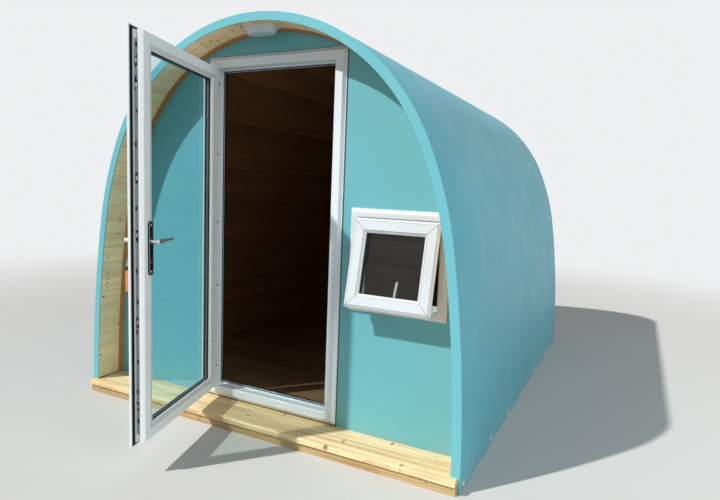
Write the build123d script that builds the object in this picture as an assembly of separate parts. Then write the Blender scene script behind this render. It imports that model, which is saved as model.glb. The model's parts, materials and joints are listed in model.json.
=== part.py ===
from build123d import *
import os
from math import cos, sin, tan, radians

# Garden office pod: an arched shell on a low timber base, with a recessed front wall,
# a glazed entrance door, a small top-hung window and a timber step across the front.
# Millimetres. X runs across the front, Y from the front to the rear, Z up.
# The origin is the centre of the footprint, on the ground.

os.makedirs("parts", exist_ok=True)

# Arch outline: a side arc, a shoulder arc and a crown arc, each tangent to the next
pod_width = 2440
pod_length = 3050
side_radius = 6860
side_angle = 9.2
shoulder_radius = 1940
shoulder_angle = 15.0

# Shell build-up, from outside to inside
skin_thickness = 9
rib_depth = 22
lining_thickness = 14
rib_width = 38
rib_count = 3
curve_clearance = 0.3
fascia_thickness = 6

# Floor and base
joist_height = 47
joist_width = 45
joist_pitch = 480
floor_panel_thickness = 32
laminate_thickness = 8
edge_clearance = 0.3

# Front and rear walls
front_overhang = 182
rear_recess = 40
wall_thickness = 57
wall_lining_thickness = 12
bead_width = 9
bead_depth = 30

# Front step
step_board_thickness = 28
step_projection = 36
step_nose_radius = 11
step_end_gap = 12
step_front_board_thickness = 23
step_reveal = 5

# Door frame
door_centre_x = 25
door_frame_width = 895
door_head_gap = 1
door_frame_face = 62
door_frame_depth = 70
door_frame_proud = 19
stop_width = 18
stop_thickness = 15
profile_bevel = 3

# Outer edge shared by the door and window frames: a low lip, then a slope up to the face
frame_lip_width = 4
frame_lip_depth = 14
frame_slope_width = 14

# Door leaf
leaf_gap = 8
leaf_flange_overlap = 12
leaf_flange_thickness = 12
leaf_seal_gap = 7
leaf_thickness = 67
leaf_face = 72
glazing_lip = 14
glass_pocket_depth = 18
bead_step = 5
bead_step_depth = 4
leaf_inner_slope = 15
leaf_inner_slope_width = 4
glass_thickness = 28
gasket_thickness = 2
gasket_width = 6
gasket_lip = 2.5
edge_gasket_depth = 5
door_open_angle = 73

# Hinges
hinge_axis_offset = 15
hinge_knuckle_radius = 9
hinge_knuckle_height = 45
hinge_pin_radius = 4
hinge_pin_clearance = 0.05
hinge_pin_reach = 34
hinge_bore_spare = 1
hinge_leg_width = 10
hinge_knuckle_gap = 0.5
hinge_plate_thickness = 3
hinge_plate_width = 34
hinge_count = 3
hinge_end_gap = 120

# Lock and handles
handle_backset = 45
spindle_height = 1085
lock_centres = 92
backplate_width = 32
backplate_height = 244
backplate_rise = 90
backplate_thickness = 9
backplate_corner = 14.4
spindle_radius = 5
spindle_hole_clearance = 5
lever_neck_radius = 9
lever_reach = 52
lever_length = 122
lever_thickness = 11
lever_height = 20
lever_tip_height = 11
lever_edge = 3
lock_strip_width = 14
lock_strip_thickness = 4
lock_strip_end_gap = 40
lock_hook_offsets = [-658, -78, 542]
lock_hook_height = 36
lock_hook_width = 8
lock_hook_reach = 2
lock_groove_start = 25
lock_groove_width = 16
lock_groove_depth = 4
cylinder_radius = 8.5
cylinder_proud = 3

# Window
window_door_gap = 58.5
window_arch_overlap = 9
window_height = 525
window_bottom = 733
window_proud = 28
window_frame_depth = 70
window_face = 46
sash_margin = 38
sash_flange = 20
sash_flange_thickness = 12
sash_outer_slope = 14
sash_outer_slope_depth = 9
sash_glazing_slope = 14
sash_glazing_slope_depth = 11
sash_thickness = 60
sash_face = 53
sash_glass_thickness = 24
sash_standoff = 22
sash_open_angle = 12.1
sash_open_drop = 6
window_handle_base = (24, 10, 40)
window_handle_neck = 8
window_handle_grip = (12, 11, 122)
window_handle_turn = 5
window_handle_standoff = 24
stay_width = 19
stay_length = 190
stay_depth = 30

# Lamp under the crown
lamp_length = 206
lamp_width = 106
lamp_base_height = 9
lamp_bowl_height = 29
lamp_bowl_slope = 30
lamp_centre_x = 7
lamp_rim = 5
lamp_wall_gap = 45

# Derived places
shell_thickness = skin_thickness + rib_depth + lining_thickness
front_y = -pod_length / 2
rear_y = pod_length / 2
wall_y = front_y + front_overhang
rear_wall_y = rear_y - rear_recess
floor_z = joist_height + floor_panel_thickness + laminate_thickness
step_z = joist_height + step_board_thickness
shell_front_y = front_y + fascia_thickness
shell_rear_y = rear_y - fascia_thickness


# The arch
def polar(radius, angle):
    return Vector(radius * cos(radians(angle)), radius * sin(radians(angle)))


side_centre = Vector(pod_width / 2 - side_radius, 0)
shoulder_centre = side_centre + polar(side_radius - shoulder_radius, side_angle)
crown_angle = side_angle + shoulder_angle
crown_radius = shoulder_radius + shoulder_centre.X / cos(radians(crown_angle))
crown_centre = shoulder_centre + polar(shoulder_radius - crown_radius, crown_angle)
arc_ends = [0, side_angle, crown_angle, 180 - crown_angle, 180 - side_angle, 180]


def arch_point(inset, angle):
    """Point of the arch, moved in by inset, where its normal has this angle from +X."""
    right = min(angle, 180 - angle)
    if right <= side_angle:
        point = side_centre + polar(side_radius - inset, right)
    elif right <= crown_angle:
        point = shoulder_centre + polar(shoulder_radius - inset, right)
    else:
        point = crown_centre + polar(crown_radius - inset, right)
    return point if angle <= 90 else Vector(-point.X, point.Y)


def arch_edges(inset, start, end):
    stops = [start] + [a for a in arc_ends if start < a < end] + [end]
    return [
        ThreePointArc(arch_point(inset, a), arch_point(inset, (a + b) / 2), arch_point(inset, b))
        for a, b in zip(stops, stops[1:])
    ]


def arch_band(outer_inset, inner_inset, start=0, end=180):
    """Face between two insets of the arch, drawn with its height along local Y."""
    outer = arch_edges(outer_inset, start, end)
    inner = arch_edges(inner_inset, start, end)
    first = Line(arch_point(outer_inset, start), arch_point(inner_inset, start))
    last = Line(arch_point(outer_inset, end), arch_point(inner_inset, end))
    return make_face(Curve() + outer + inner + [first, last])


def arch_area(inset):
    """Face of the whole room under one inset of the arch."""
    base = Line(arch_point(inset, 180), arch_point(inset, 0))
    return make_face(Curve() + arch_edges(inset, 0, 180) + [base])


def half_width(inset, height):
    """Distance from the middle to the arch at a height below its crown arc."""
    centre, radius = side_centre, side_radius - inset
    if height > radius * sin(radians(side_angle)):
        centre, radius = shoulder_centre, shoulder_radius - inset
    return centre.X + (radius**2 - (height - centre.Y) ** 2) ** 0.5


def crown_height(inset, x):
    """Height of the arch over a place in its crown arc."""
    return crown_centre.Y + ((crown_radius - inset) ** 2 - x**2) ** 0.5


# Shapes drawn across the pod and carried along Y
def along_y(face, y0, y1):
    return Pos(0, y1, 0) * Rot(90, 0, 0) * extrude(face, amount=y1 - y0)


def panel(x0, x1, y0, y1, z0, z1):
    return Pos((x0 + x1) / 2, (y0 + y1) / 2, (z0 + z1) / 2) * Box(x1 - x0, y1 - y0, z1 - z0)


def save(node, shape):
    export_step(shape, "parts/" + node + ".step")


def as_compound(shapes):
    return Compound([solid for shape in shapes for solid in shape.solids()])


# Base and floor
floor_half_width = half_width(shell_thickness + edge_clearance, floor_z)
joist_half_width = half_width(shell_thickness + edge_clearance, joist_height)
base_front_y = front_y
base_rear_y = rear_wall_y - wall_thickness


def base_side_joists():
    inner = joist_half_width - joist_width
    right = panel(inner, joist_half_width, base_front_y, base_rear_y, 0, joist_height)
    return as_compound([right, mirror(right, about=Plane.YZ)])


def base_cross_joists():
    """An end joist at the front and rear, and the rest at even steps from the middle."""
    reach = joist_half_width - joist_width
    first = base_front_y + joist_width / 2
    last = base_rear_y - joist_width / 2
    steps = int((last - joist_width) // joist_pitch)
    middles = [first] + [i * joist_pitch for i in range(-steps, steps + 1)] + [last]
    return as_compound(
        panel(-reach, reach, y - joist_width / 2, y + joist_width / 2, 0, joist_height)
        for y in middles
    )


def floor_sheet(z0, z1, y0):
    return panel(-floor_half_width, floor_half_width, y0, base_rear_y, z0, z1)


# Shell
lining_inset = skin_thickness + rib_depth
rib_inset = skin_thickness + curve_clearance
segment_angles = {
    "left": (180 - crown_angle, 180),
    "crown": (crown_angle, 180 - crown_angle),
    "right": (0, crown_angle),
}


def shell_segment(outer_inset, inner_inset, name):
    start, end = segment_angles[name]
    return along_y(arch_band(outer_inset, inner_inset, start, end), shell_front_y, shell_rear_y)


def arch_ribs():
    band = arch_band(rib_inset, lining_inset - curve_clearance)
    pitch = (shell_rear_y - shell_front_y - rib_width) / (rib_count - 1)
    starts = [shell_front_y + i * pitch for i in range(rib_count)]
    return as_compound(along_y(band, y, y + rib_width) for y in starts)


def end_fascias():
    band = arch_band(0, shell_thickness)
    return as_compound(along_y(band, y, y + fascia_thickness) for y in (front_y, shell_rear_y))


# Walls
door_left = door_centre_x - door_frame_width / 2
door_right = door_centre_x + door_frame_width / 2
room_inset = shell_thickness + curve_clearance
door_bottom = floor_z
door_top = crown_height(room_inset, max(abs(door_left), door_right)) - door_head_gap
window_top = window_bottom + window_height
window_left = door_right + window_door_gap
window_right = half_width(room_inset, window_top) + window_arch_overlap
window_centre_x = (window_left + window_right) / 2
room_area = arch_area(room_inset)
far = pod_width


def wall_sheet(y0, y1, z0):
    return along_y(room_area, y0, y1) - panel(-far, far, y0, y1, -far, z0)


def front_wall_with_openings(y0, y1, z0):
    wall = wall_sheet(y0, y1, z0)
    wall -= panel(door_left, door_right, y0, y1, 0, door_top)
    return wall - panel(window_left, window_right, y0, y1, window_bottom, window_top)


def front_wall_parts():
    wall = front_wall_with_openings(wall_y, wall_y + wall_thickness, joist_height)
    y0, y1 = wall_y, wall_y + wall_thickness
    return {
        "front_wall_left": wall & panel(-far, door_left, y0, y1, 0, far),
        "front_wall_head": wall & panel(door_left, door_right, y0, y1, door_top, 2 * far),
        "front_wall_right": wall & panel(door_right, far, y0, y1, 0, far),
    }


def end_wall_linings():
    front = wall_y + wall_thickness
    rear = base_rear_y - wall_lining_thickness
    return as_compound([
        front_wall_with_openings(front, front + wall_lining_thickness, floor_z),
        wall_sheet(rear, base_rear_y, floor_z),
    ])


def front_bead():
    band = along_y(arch_band(room_inset, room_inset + bead_width), wall_y - bead_depth, wall_y)
    band -= panel(-far, far, wall_y - bead_depth, wall_y, -far, step_z)
    cut = panel(window_left, window_right, wall_y - far, wall_y, window_bottom, window_top)
    frame = panel(door_left, door_right, wall_y - far, wall_y, 0, door_top)
    return band - cut - frame


def door_sill_packer():
    return panel(door_left, door_right, wall_y, wall_y + wall_thickness, joist_height, floor_z)


# Front step
step_front_y = front_y - step_projection
step_half_width = pod_width / 2 - step_end_gap


def step_top_board():
    inner = half_width(room_inset, step_z)
    board = panel(-inner, inner, front_y, wall_y, joist_height, step_z)
    nose = panel(-step_half_width, step_half_width, step_front_y, front_y, joist_height, step_z)
    front_edge = nose.edges().filter_by(Axis.X).group_by(Axis.Y)[0].sort_by(Axis.Z)[-1]
    return board + fillet(front_edge, step_nose_radius)


def step_front_board():
    y0 = front_y - step_front_board_thickness
    return panel(-step_half_width, step_half_width, y0, front_y, 0, joist_height - step_reveal)


# Extruded frame profiles, cut at 45 degrees where they meet.
# A profile is drawn as (distance in from the outer edge, depth in from the outer face).
def mitred_member(points, side, x0, x1, z0, z1, y0):
    """One side of a rectangular frame, from a closed profile of (in, depth) points."""
    middle_x = (x0 + x1) / 2
    middle_z = (z0 + z1) / 2
    face = make_face(Polyline(*points, close=True))
    reach = max(p[0] for p in points)
    depth0 = min(p[1] for p in points)
    depth1 = max(p[1] for p in points)
    if side in ("left", "right"):
        bar = Pos(x0, y0, z0) * extrude(face, amount=z1 - z0)
        ends = [(x0, z0), (x0, z1), (x0 + reach, z1 - reach), (x0 + reach, z0 + reach)]
    else:
        upright = Plane(origin=(x0, y0, z0), x_dir=(0, 0, 1), z_dir=(1, 0, 0))
        turned = make_face(Polyline(*[(p[0], -p[1]) for p in points], close=True))
        bar = extrude(upright * turned, amount=x1 - x0)
        ends = [(x0, z0), (x1, z0), (x1 - reach, z0 + reach), (x0 + reach, z0 + reach)]
    bar = bar & along_y(make_face(Polyline(*ends, close=True)), y0 + depth0, y0 + depth1)
    if side == "right":
        bar = mirror(bar, about=Plane.YZ.offset(middle_x))
    if side == "top":
        bar = mirror(bar, about=Plane.XY.offset(middle_z))
    return bar


def mitred_frame(points, x0, x1, z0, z1, y0):
    frame = None
    for side in ("left", "right", "top", "bottom"):
        member = mitred_member(points, side, x0, x1, z0, z1, y0)
        frame = member if frame is None else frame + member
    return frame


def box_profile(in0, in1, depth0, depth1):
    return [(in0, depth0), (in1, depth0), (in1, depth1), (in0, depth1)]


# Door frame
frame_face_y = wall_y - door_frame_proud
stop_depth = door_frame_depth - stop_thickness
door_frame_box = (door_left, door_right, door_bottom, door_top)


def frame_profile(inner, depth):
    """A frame with a lip and a slope outside, a flat face of a given width, and a stop inside."""
    stop = inner + stop_width
    stop_start = depth - stop_thickness
    return [
        (0, frame_lip_depth), (frame_lip_width, frame_lip_depth),
        (frame_lip_width + frame_slope_width, 0), (inner - profile_bevel, 0), (inner, profile_bevel),
        (inner, stop_start), (stop - profile_bevel, stop_start), (stop, stop_start + profile_bevel),
        (stop, depth), (0, depth),
    ]


def door_frame_gasket():
    edge = door_frame_face + stop_width - profile_bevel
    points = box_profile(edge - gasket_width, edge, stop_depth - gasket_thickness, stop_depth)
    return mitred_frame(points, *door_frame_box, frame_face_y)


# Door leaf, drawn closed and then swung open about the hinge axis
leaf_tip = door_frame_face - leaf_flange_overlap
leaf_step = leaf_flange_overlap + leaf_gap
leaf_y = frame_face_y - leaf_seal_gap - leaf_flange_thickness
leaf_box = (door_left + leaf_tip, door_right - leaf_tip, door_bottom + leaf_tip, door_top - leaf_tip)
leaf_body_right = leaf_box[1] - leaf_step
glass_edge = leaf_step + leaf_face
pocket_edge = glass_edge - glass_pocket_depth
lip_depth = (leaf_thickness - glass_thickness) / 2 - gasket_thickness
bead_depth_start = leaf_thickness - lip_depth
hinge_x = leaf_box[0] - hinge_axis_offset
hinge_y = leaf_y
hinge_bottom = leaf_box[2] + hinge_end_gap
hinge_pair_height = 2 * hinge_knuckle_height + hinge_knuckle_gap
hinge_pitch = (leaf_box[3] - hinge_end_gap - hinge_pair_height - hinge_bottom) / (hinge_count - 1)
hinge_heights = [hinge_bottom + i * hinge_pitch for i in range(hinge_count)]


def swung(shape):
    """Carry a piece of the closed door to the angle at which the door stands open."""
    return Pos(hinge_x, hinge_y, 0) * Rot(0, 0, -door_open_angle) * Pos(-hinge_x, -hinge_y, 0) * shape


def leaf_profile():
    groove_end = lock_groove_start + lock_groove_width
    bevel = profile_bevel
    return [
        (0, bevel), (bevel, 0), (glass_edge - glazing_lip, 0), (glass_edge, lip_depth / 2),
        (glass_edge, lip_depth), (pocket_edge, lip_depth), (pocket_edge, leaf_thickness),
        (leaf_step + leaf_inner_slope_width, leaf_thickness), (leaf_step, leaf_thickness - leaf_inner_slope),
        (leaf_step, groove_end), (leaf_step + lock_groove_depth, groove_end),
        (leaf_step + lock_groove_depth, lock_groove_start), (leaf_step, lock_groove_start),
        (leaf_step, leaf_flange_thickness), (0, leaf_flange_thickness),
    ]


def leaf_member(side):
    return mitred_member(leaf_profile(), side, *leaf_box, leaf_y)


def door_glazing_bead():
    step_depth = leaf_thickness - bead_step_depth
    points = [
        (pocket_edge, bead_depth_start), (glass_edge, bead_depth_start),
        (glass_edge, step_depth - bead_step_depth), (glass_edge - bead_step, step_depth),
        (glass_edge - 2 * bead_step, step_depth), (glass_edge - 2 * bead_step, leaf_thickness),
        (pocket_edge, leaf_thickness),
    ]
    return mitred_frame(points, *leaf_box, leaf_y)


def door_glass():
    inset = pocket_edge + edge_clearance
    y0 = leaf_y + lip_depth + gasket_thickness
    x0, x1, z0, z1 = leaf_box
    return panel(x0 + inset, x1 - inset, y0, y0 + glass_thickness, z0 + inset, z1 - inset)


def door_gaskets():
    in0 = glass_edge - gasket_width
    in1 = glass_edge + gasket_lip
    back = bead_depth_start - gasket_thickness
    outer = box_profile(in0, in1, lip_depth, lip_depth + gasket_thickness)
    inner = box_profile(in0, in1, back, back + gasket_thickness)
    back = leaf_flange_thickness
    flange = [
        (leaf_flange_overlap - gasket_width, back), (leaf_step, back),
        (leaf_step, back + edge_gasket_depth), (leaf_step - gasket_thickness, back + edge_gasket_depth),
        (leaf_step - gasket_thickness, back + gasket_thickness),
        (leaf_flange_overlap - gasket_width, back + gasket_thickness),
    ]
    return as_compound(mitred_frame(p, *leaf_box, leaf_y) for p in (outer, inner, flange))


# Hinges
def knuckle(z0):
    return Pos(hinge_x, hinge_y, z0 + hinge_knuckle_height / 2) * Cylinder(
        hinge_knuckle_radius, hinge_knuckle_height
    )


def frame_hinge(z0):
    z1 = z0 + hinge_knuckle_height
    leg_end = hinge_x + hinge_leg_width / 2
    plate_y = frame_face_y - hinge_plate_thickness
    leg = panel(leg_end - hinge_leg_width, leg_end, hinge_y, frame_face_y, z0, z1)
    plate = panel(leg_end - hinge_plate_width, leg_end, plate_y, frame_face_y, z0, z1)
    pin_length = hinge_knuckle_height + hinge_knuckle_gap + hinge_pin_reach
    pin = Pos(hinge_x, hinge_y, z0 + pin_length / 2) * Cylinder(hinge_pin_radius, pin_length)
    return knuckle(z0) + leg + plate + pin


def leaf_hinge(z0):
    z0 = z0 + hinge_knuckle_height + hinge_knuckle_gap
    z1 = z0 + hinge_knuckle_height
    plate_end = leaf_box[0] + hinge_plate_width + hinge_knuckle_radius
    plate = panel(hinge_x, plate_end, leaf_y - hinge_plate_thickness, leaf_y, z0, z1)
    bore_length = hinge_pin_reach + hinge_bore_spare
    bore = Pos(hinge_x, hinge_y, z0 + bore_length / 2) * Cylinder(
        hinge_pin_radius + hinge_pin_clearance, bore_length
    )
    return knuckle(z0) + plate - bore


# Lock and handles, drawn on the closed door
handle_x = leaf_body_right - handle_backset
leaf_inner_y = leaf_y + leaf_thickness
lock_edge_x = leaf_body_right - lock_groove_depth


def lock_strip():
    z0 = leaf_box[2] + leaf_step + lock_strip_end_gap
    z1 = leaf_box[3] - leaf_step - lock_strip_end_gap
    middle_y = leaf_y + lock_groove_start + lock_groove_width / 2
    half = lock_strip_width / 2
    strip = panel(lock_edge_x, lock_edge_x + lock_strip_thickness, middle_y - half, middle_y + half, z0, z1)
    hook_x = lock_edge_x + lock_strip_thickness + lock_hook_reach
    half = lock_hook_width / 2
    for offset in lock_hook_offsets:
        z0 = spindle_height + offset - lock_hook_height / 2
        strip += panel(lock_edge_x, hook_x, middle_y - half, middle_y + half, z0, z0 + lock_hook_height)
    return strip


def spindle_bore(radius):
    middle = leaf_y + leaf_thickness / 2
    return Pos(handle_x, middle, spindle_height) * Rot(90, 0, 0) * Cylinder(radius, 2 * leaf_thickness)


def cylinder_bore():
    middle = leaf_y + leaf_thickness / 2
    place = Pos(handle_x, middle, spindle_height - lock_centres) * Rot(90, 0, 0)
    return place * Cylinder(cylinder_radius + curve_clearance, 2 * leaf_thickness)


def backplate(y0, y1):
    z1 = spindle_height + backplate_rise
    half = backplate_width / 2
    body = panel(handle_x - half, handle_x + half, y0, y1, z1 - backplate_height, z1)
    body = fillet(body.edges().filter_by(Axis.Y), backplate_corner)
    return body - spindle_bore(lever_neck_radius + curve_clearance) - cylinder_bore()


def door_backplates():
    return as_compound([
        backplate(leaf_y - backplate_thickness, leaf_y),
        backplate(leaf_inner_y, leaf_inner_y + backplate_thickness),
    ])


def lock_cylinder():
    y0 = leaf_y - backplate_thickness - cylinder_proud
    y1 = leaf_inner_y + backplate_thickness + cylinder_proud
    z = spindle_height - lock_centres
    return Pos(handle_x, (y0 + y1) / 2, z) * Rot(90, 0, 0) * Cylinder(cylinder_radius, y1 - y0)


def stile_with_bores(stile):
    return stile - spindle_bore(spindle_radius + spindle_hole_clearance) - cylinder_bore()


def lever(direction, face_y):
    """One lever: a round neck out of the backplate, turned into a tapered grip."""
    tip_y = face_y + direction * lever_reach
    neck_y = sorted((face_y, tip_y))
    neck = Pos(handle_x, sum(neck_y) / 2, spindle_height) * Rot(90, 0, 0) * Cylinder(
        lever_neck_radius, neck_y[1] - neck_y[0]
    )
    root_x = handle_x + lever_height / 2
    tip_x = handle_x - lever_length
    top = spindle_height + lever_height / 2
    outline = Polyline(
        (root_x, top), (root_x, top - lever_height),
        (tip_x, top - lever_tip_height), (tip_x, top), close=True,
    )
    y0, y1 = sorted((tip_y, tip_y - direction * lever_thickness))
    grip = along_y(make_face(outline), y0, y1)
    return neck + chamfer(grip.edges(), lever_edge)


def lever_pair():
    middle = leaf_y + leaf_thickness / 2
    spindle = Pos(handle_x, middle, spindle_height) * Rot(90, 0, 0) * Cylinder(
        spindle_radius, leaf_thickness + 2 * backplate_thickness
    )
    outside = lever(-1, leaf_y)
    inside = lever(1, leaf_inner_y)
    return spindle + outside + inside


# Window
window_y = wall_y - window_proud


def window_frame():
    """The frame, its upper outer corner scribed to the curve of the lining."""
    profile = frame_profile(window_face, window_frame_depth)
    frame = mitred_frame(profile, window_left, window_right, window_bottom, window_top, window_y)
    return frame & along_y(room_area, window_y, window_y + window_frame_depth)


sash_box = (
    window_left + sash_margin, window_right - sash_margin,
    window_bottom + sash_margin, window_top - sash_margin,
)
sash_y = window_y - sash_standoff
sash_glass_edge = sash_flange + sash_face
sash_pocket = sash_glass_edge - glass_pocket_depth
sash_lip = (sash_thickness - sash_glass_thickness) / 2 - gasket_thickness


def tilted(shape):
    """Carry a piece of the shut sash to where its stays hold it: its top lower, its foot out."""
    top = sash_box[3]
    lowered = Pos(0, sash_y, top - sash_open_drop)
    return lowered * Rot(-sash_open_angle, 0, 0) * Pos(0, -sash_y, -top) * shape


def sash_profile():
    return [
        (0, sash_outer_slope_depth), (sash_outer_slope, 0), (sash_glass_edge - sash_glazing_slope, 0),
        (sash_glass_edge, sash_glazing_slope_depth), (sash_glass_edge, sash_lip), (sash_pocket, sash_lip),
        (sash_pocket, sash_thickness - sash_lip), (sash_glass_edge, sash_thickness - sash_lip),
        (sash_glass_edge - sash_glazing_slope, sash_thickness), (sash_flange, sash_thickness),
        (sash_flange, sash_flange_thickness), (0, sash_flange_thickness),
    ]


def window_glass():
    inset = sash_pocket + edge_clearance
    y0 = sash_y + sash_lip + gasket_thickness
    x0, x1, z0, z1 = sash_box
    return panel(x0 + inset, x1 - inset, y0, y0 + sash_glass_thickness, z0 + inset, z1 - inset)


def window_gaskets():
    in0 = sash_glass_edge - gasket_width
    in1 = sash_glass_edge + gasket_lip
    back = sash_thickness - sash_lip - gasket_thickness
    outer = box_profile(in0, in1, sash_lip, sash_lip + gasket_thickness)
    inner = box_profile(in0, in1, back, back + gasket_thickness)
    return as_compound(mitred_frame(p, *sash_box, sash_y) for p in (outer, inner))


def window_stays():
    """A flat bar on each side of the frame, against another on the side of the sash."""
    frame_side = window_left + window_face
    sash_side = sash_box[0] + sash_flange
    middle = (frame_side + sash_side) / 2
    top = window_top - window_face
    sash_top = sash_box[3] - sash_flange
    y0 = sash_y + stay_depth
    bars = [
        panel(frame_side, middle, y0, y0 + stay_width, top - stay_length, top),
        tilted(panel(middle, sash_side, y0, y0 + stay_width, sash_top - stay_length, sash_top)),
    ]
    centre = Plane.YZ.offset(window_centre_x)
    return as_compound(bars + [mirror(bar, about=centre) for bar in bars])


def window_handle():
    middle_x = (sash_box[0] + sash_box[1]) / 2
    z = sash_box[2] + sash_flange + (sash_face - glazing_lip) / 2
    y = sash_y + sash_thickness
    width, depth, height = window_handle_base
    base = panel(middle_x - width / 2, middle_x + width / 2, y, y + depth, z - height / 2, z + height / 2)
    neck_middle = Pos(middle_x, y + window_handle_standoff / 2, z) * Rot(90, 0, 0)
    neck = neck_middle * Cylinder(window_handle_neck, window_handle_standoff)
    width, depth, height = window_handle_grip
    y += window_handle_standoff
    grip = panel(-width / 2, width / 2, y, y + depth, -window_handle_neck, height - window_handle_neck)
    turned = Pos(middle_x, 0, z) * Rot(0, window_handle_turn, 0) * chamfer(grip.edges(), depth / 4)
    return base + neck + turned


# Lamp
def lamp_place(shape):
    ceiling = crown_centre.Y + crown_radius - shell_thickness
    y = wall_y - lamp_wall_gap - lamp_width / 2
    return Pos(lamp_centre_x, y, ceiling) * shape


lamp_end_x = lamp_centre_x + lamp_length / 2
lamp_base_drop = lamp_base_height + lamp_end_x**2 / 2 / (crown_radius - shell_thickness)


def lamp_base():
    body = lamp_place(extrude(SlotOverall(lamp_length, lamp_width), amount=-lamp_base_drop))
    return body & along_y(room_area, front_y, wall_y)


def lamp_bowl():
    """A tapering bowl with half-round ends: a wedge between two cones."""
    top_radius = lamp_width / 2 - lamp_rim
    bottom_radius = top_radius - lamp_bowl_height * tan(radians(lamp_bowl_slope))
    outline = Polyline(
        (-top_radius, 0), (top_radius, 0),
        (bottom_radius, -lamp_bowl_height), (-bottom_radius, -lamp_bowl_height), close=True,
    )
    end_x = (lamp_length - lamp_width) / 2
    middle = extrude(Plane.YZ * make_face(outline), amount=end_x, both=True)
    cone = Pos(0, 0, -lamp_bowl_height / 2) * Cone(bottom_radius, top_radius, lamp_bowl_height)
    bowl = middle + Pos(-end_x, 0, 0) * cone + Pos(end_x, 0, 0) * cone
    return lamp_place(Pos(0, 0, -lamp_base_drop) * bowl)


# Write every piece
save("base_side_joists", base_side_joists())
save("base_cross_joists", base_cross_joists())
save("floor_panel", floor_sheet(joist_height, floor_z - laminate_thickness, wall_y + wall_thickness))
save("floor_laminate", floor_sheet(floor_z - laminate_thickness, floor_z, wall_y + wall_thickness))
save("step_top_board", step_top_board())
save("step_front_board", step_front_board())

for segment in segment_angles:
    save("shell_skin_" + segment, shell_segment(0, skin_thickness, segment))
    save("shell_lining_" + segment, shell_segment(lining_inset, shell_thickness, segment))
save("arch_ribs", arch_ribs())
save("end_fascias", end_fascias())

for node, piece in front_wall_parts().items():
    save(node, piece)
save("rear_wall", wall_sheet(base_rear_y, rear_wall_y, 0))
save("end_wall_linings", end_wall_linings())
save("front_bead", front_bead())
save("door_sill_packer", door_sill_packer())

for side, node in (("left", "door_frame_left"), ("right", "door_frame_right"),
                   ("top", "door_frame_head"), ("bottom", "door_frame_threshold")):
    profile = frame_profile(door_frame_face, door_frame_depth)
    save(node, mitred_member(profile, side, *door_frame_box, frame_face_y))
save("door_frame_gasket", door_frame_gasket())

save("door_hinge_stile", swung(leaf_member("left")))
save("door_lock_stile", swung(stile_with_bores(leaf_member("right"))))
save("door_top_rail", swung(leaf_member("top")))
save("door_bottom_rail", swung(leaf_member("bottom")))
save("door_glazing_bead", swung(door_glazing_bead()))
save("door_glass", swung(door_glass()))
save("door_gaskets", swung(door_gaskets()))
save("door_lock_strip", swung(lock_strip()))
save("door_backplates", swung(door_backplates()))
save("door_lock_cylinder", swung(lock_cylinder()))
save("hinges_on_frame", as_compound(frame_hinge(z) for z in hinge_heights))
save("hinges_on_leaf", swung(as_compound(leaf_hinge(z) for z in hinge_heights)))
save("door_lever_handles", swung(lever_pair()))

save("window_frame", window_frame())
save("window_sash", tilted(mitred_frame(sash_profile(), *sash_box, sash_y)))
save("window_glass", tilted(window_glass()))
save("window_gaskets", tilted(window_gaskets()))
save("window_stays", window_stays())
save("window_handle", tilted(window_handle()))

save("lamp_base", lamp_base())
save("lamp_bowl", lamp_bowl())

print("crown radius", round(crown_radius, 1), "height", round(crown_centre.Y + crown_radius, 1))
print("hinge axis", round(hinge_x, 2), round(hinge_y, 2))
print("spindle from hinge", round(handle_x - hinge_x, 2), "at", spindle_height)
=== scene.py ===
import json
from math import acos, cos, pi, radians, sin, sqrt, tau
from random import Random

import bmesh
import bpy
from mathutils import Matrix, Vector


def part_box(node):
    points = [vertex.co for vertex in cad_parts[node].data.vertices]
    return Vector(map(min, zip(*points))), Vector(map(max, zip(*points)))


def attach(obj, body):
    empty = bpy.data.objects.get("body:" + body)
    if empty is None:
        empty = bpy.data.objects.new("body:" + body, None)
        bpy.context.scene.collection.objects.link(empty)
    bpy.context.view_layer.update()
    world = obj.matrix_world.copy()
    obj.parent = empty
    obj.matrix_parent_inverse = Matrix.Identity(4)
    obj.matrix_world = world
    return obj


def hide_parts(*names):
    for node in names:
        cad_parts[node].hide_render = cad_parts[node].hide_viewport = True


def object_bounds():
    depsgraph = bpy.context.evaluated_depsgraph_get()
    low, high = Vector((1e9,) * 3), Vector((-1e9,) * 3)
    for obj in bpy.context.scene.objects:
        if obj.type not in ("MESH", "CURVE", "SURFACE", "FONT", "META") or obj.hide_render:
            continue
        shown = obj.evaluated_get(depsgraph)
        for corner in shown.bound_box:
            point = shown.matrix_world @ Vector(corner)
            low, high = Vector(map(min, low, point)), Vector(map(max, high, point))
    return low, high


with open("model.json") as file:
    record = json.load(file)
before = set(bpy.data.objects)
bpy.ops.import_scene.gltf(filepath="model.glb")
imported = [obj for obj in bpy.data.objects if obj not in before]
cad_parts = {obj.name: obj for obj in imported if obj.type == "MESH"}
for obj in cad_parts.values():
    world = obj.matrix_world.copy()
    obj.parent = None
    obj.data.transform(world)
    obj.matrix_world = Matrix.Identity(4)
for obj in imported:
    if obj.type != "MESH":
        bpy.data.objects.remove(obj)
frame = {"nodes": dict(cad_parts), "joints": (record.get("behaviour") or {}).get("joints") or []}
cad_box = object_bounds()
nodes = frame["nodes"]

# The arch, in metres: a side arc, a shoulder arc and a crown arc, each tangent to the next
HALF_WIDTH = cad_box[1].x
SIDE_RADIUS, SIDE_ANGLE = 6.86, radians(9.2)
SHOULDER_RADIUS, SHOULDER_ANGLE = 1.94, radians(15.0)
SHELL_THICKNESS = 0.045
FASCIA_THICKNESS = 0.006

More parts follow.
